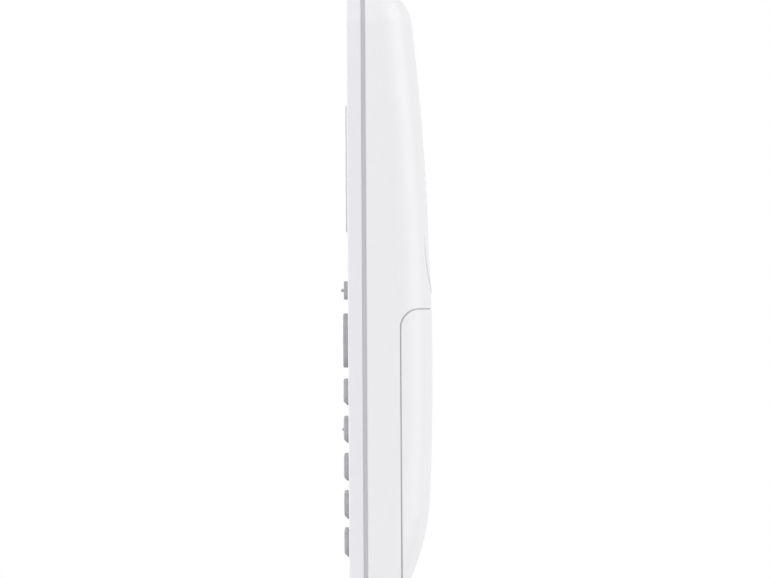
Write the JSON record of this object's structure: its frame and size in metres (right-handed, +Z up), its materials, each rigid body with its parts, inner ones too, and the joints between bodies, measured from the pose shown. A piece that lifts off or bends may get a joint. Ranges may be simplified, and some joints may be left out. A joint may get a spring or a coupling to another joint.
{
  "type": "cordless phone handset",
  "caption": "Slim upright telephone handset with a display window, rubber-backed push keys, a navigation ring and a sliding battery cover.",
  "frame": {"origin": "on the foot plane, under the middle of the handset", "axes": "+Z up along the handset, keys face -Y, X across the width"},
  "size_m": [0.0466, 0.023, 0.157],
  "materials": {
    "white_shell": "fine matt moulded plastic",
    "white_shell_rear": "fine matt moulded plastic",
    "key_grey": "satin silver-grey plastic",
    "window": "clear hard-coated plastic window",
    "display_glass": "glass display panel",
    "dark_plastic": "moulded plastic",
    "black_foam": "closed-cell foam",
    "board": "solder-masked board",
    "tinned_steel": "tinned sheet",
    "dome_film": "film over metal domes",
    "silicone": "silicone rubber",
    "mesh": "woven mesh",
    "receiver": "stamped can",
    "cell_wrap": "shrink wrap",
    "contact_metal": "plated spring metal",
    "screw_steel": "zinc-plated steel"
  },
  "bodies": {
    "handset": {"front_shell": "white_shell", "rear_shell": "white_shell_rear", "display_window": "window", "display_gasket": "black_foam", "display_holder": "dark_plastic", "display_panel": "display_glass", "main_board": "board", "rf_shield": "tinned_steel", "antenna": "tinned_steel", "dome_sheet": "dome_film", "keypad_mat": "silicone", "earpiece_mesh": "mesh", "earpiece_gasket": "black_foam", "earpiece_receiver": "receiver", "loudspeaker": "receiver", "loudspeaker_gasket": "black_foam", "microphone": "receiver", "microphone_boot": "silicone", "battery_cell_left": "cell_wrap", "battery_cell_right": "cell_wrap", "battery_springs": "contact_metal", "battery_plates": "contact_metal", "charge_contacts": "contact_metal", "case_screws": "screw_steel"},
    "battery_cover": {"battery_cover": "white_shell_rear"},
    "function_key_left_body": {"function_key_left": "key_grey"},
    "function_key_middle_body": {"function_key_middle": "key_grey"},
    "function_key_right_body": {"function_key_right": "key_grey"},
    "key_star_body": {"key_star": "key_grey"},
    "key_0_body": {"key_0": "key_grey"},
    "key_hash_body": {"key_hash": "key_grey"},
    "key_7_body": {"key_7": "key_grey"},
    "key_8_body": {"key_8": "key_grey"},
    "key_9_body": {"key_9": "key_grey"},
    "key_4_body": {"key_4": "key_grey"},
    "key_5_body": {"key_5": "key_grey"},
    "key_6_body": {"key_6": "key_grey"},
    "key_1_body": {"key_1": "key_grey"},
    "key_2_body": {"key_2": "key_grey"},
    "key_3_body": {"key_3": "key_grey"},
    "soft_key_left_body": {"soft_key_left": "key_grey"},
    "soft_key_middle_body": {"soft_key_middle": "key_grey"},
    "soft_key_right_body": {"soft_key_right": "key_grey"},
    "talk_key_body": {"talk_key": "key_grey"},
    "off_key_body": {"off_key": "key_grey"},
    "navigation_ring_body": {"navigation_ring": "key_grey"},
    "select_key_body": {"select_key": "key_grey"}
  },
  "joints": [
    {"name": "battery_cover_slide", "type": "slide", "parent": "handset", "child": "battery_cover", "axis": [0, 0, -1], "range_m": [0, 0.078]},
    {"name": "function_key_left_press", "type": "slide", "parent": "handset", "child": "function_key_left_body", "axis": [0, 1, 0], "range_m": [0, 0.0005], "stiffness_N_per_m": 150, "springref_m": -0.002},
    {"name": "function_key_middle_press", "type": "slide", "parent": "handset", "child": "function_key_middle_body", "axis": [0, 1, 0], "range_m": [0, 0.0005], "stiffness_N_per_m": 150, "springref_m": -0.002},
    {"name": "function_key_right_press", "type": "slide", "parent": "handset", "child": "function_key_right_body", "axis": [0, 1, 0], "range_m": [0, 0.0005], "stiffness_N_per_m": 150, "springref_m": -0.002},
    {"name": "key_star_press", "type": "slide", "parent": "handset", "child": "key_star_body", "axis": [0, 1, 0], "range_m": [0, 0.0005], "stiffness_N_per_m": 150, "springref_m": -0.002},
    {"name": "key_0_press", "type": "slide", "parent": "handset", "child": "key_0_body", "axis": [0, 1, 0], "range_m": [0, 0.0005], "stiffness_N_per_m": 150, "springref_m": -0.002},
    {"name": "key_hash_press", "type": "slide", "parent": "handset", "child": "key_hash_body", "axis": [0, 1, 0], "range_m": [0, 0.0005], "stiffness_N_per_m": 150, "springref_m": -0.002},
    {"name": "key_7_press", "type": "slide", "parent": "handset", "child": "key_7_body", "axis": [0, 1, 0], "range_m": [0, 0.0005], "stiffness_N_per_m": 150, "springref_m": -0.002},
    {"name": "key_8_press", "type": "slide", "parent": "handset", "child": "key_8_body", "axis": [0, 1, 0], "range_m": [0, 0.0005], "stiffness_N_per_m": 150, "springref_m": -0.002},
    {"name": "key_9_press", "type": "slide", "parent": "handset", "child": "key_9_body", "axis": [0, 1, 0], "range_m": [0, 0.0005], "stiffness_N_per_m": 150, "springref_m": -0.002},
    {"name": "key_4_press", "type": "slide", "parent": "handset", "child": "key_4_body", "axis": [0, 1, 0], "range_m": [0, 0.0005], "stiffness_N_per_m": 150, "springref_m": -0.002},
    {"name": "key_5_press", "type": "slide", "parent": "handset", "child": "key_5_body", "axis": [0, 1, 0], "range_m": [0, 0.0005], "stiffness_N_per_m": 150, "springref_m": -0.002},
    {"name": "key_6_press", "type": "slide", "parent": "handset", "child": "key_6_body", "axis": [0, 1, 0], "range_m": [0, 0.0005], "stiffness_N_per_m": 150, "springref_m": -0.002},
    {"name": "key_1_press", "type": "slide", "parent": "handset", "child": "key_1_body", "axis": [0, 1, 0], "range_m": [0, 0.0005], "stiffness_N_per_m": 150, "springref_m": -0.002},
    {"name": "key_2_press", "type": "slide", "parent": "handset", "child": "key_2_body", "axis": [0, 1, 0], "range_m": [0, 0.0005], "stiffness_N_per_m": 150, "springref_m": -0.002},
    {"name": "key_3_press", "type": "slide", "parent": "handset", "child": "key_3_body", "axis": [0, 1, 0], "range_m": [0, 0.0005], "stiffness_N_per_m": 150, "springref_m": -0.002},
    {"name": "soft_key_left_press", "type": "slide", "parent": "handset", "child": "soft_key_left_body", "axis": [0, 1, 0], "range_m": [0, 0.0005], "stiffness_N_per_m": 150, "springref_m": -0.002},
    {"name": "soft_key_middle_press", "type": "slide", "parent": "handset", "child": "soft_key_middle_body", "axis": [0, 1, 0], "range_m": [0, 0.0005], "stiffness_N_per_m": 150, "springref_m": -0.002},
    {"name": "soft_key_right_press", "type": "slide", "parent": "handset", "child": "soft_key_right_body", "axis": [0, 1, 0], "range_m": [0, 0.0005], "stiffness_N_per_m": 150, "springref_m": -0.002},
    {"name": "talk_key_press", "type": "slide", "parent": "handset", "child": "talk_key_body", "axis": [0, 1, 0], "range_m": [0, 0.0005], "stiffness_N_per_m": 150, "springref_m": -0.002},
    {"name": "off_key_press", "type": "slide", "parent": "handset", "child": "off_key_body", "axis": [0, 1, 0], "range_m": [0, 0.0005], "stiffness_N_per_m": 150, "springref_m": -0.002},
    {"name": "navigation_ring_press", "type": "slide", "parent": "handset", "child": "navigation_ring_body", "axis": [0, 1, 0], "range_m": [0, 0.0005], "stiffness_N_per_m": 150, "springref_m": -0.002},
    {"name": "select_key_press", "type": "slide", "parent": "handset", "child": "select_key_body", "axis": [0, 1, 0], "range_m": [0, 0.0005], "stiffness_N_per_m": 150, "springref_m": -0.002}
  ]
}
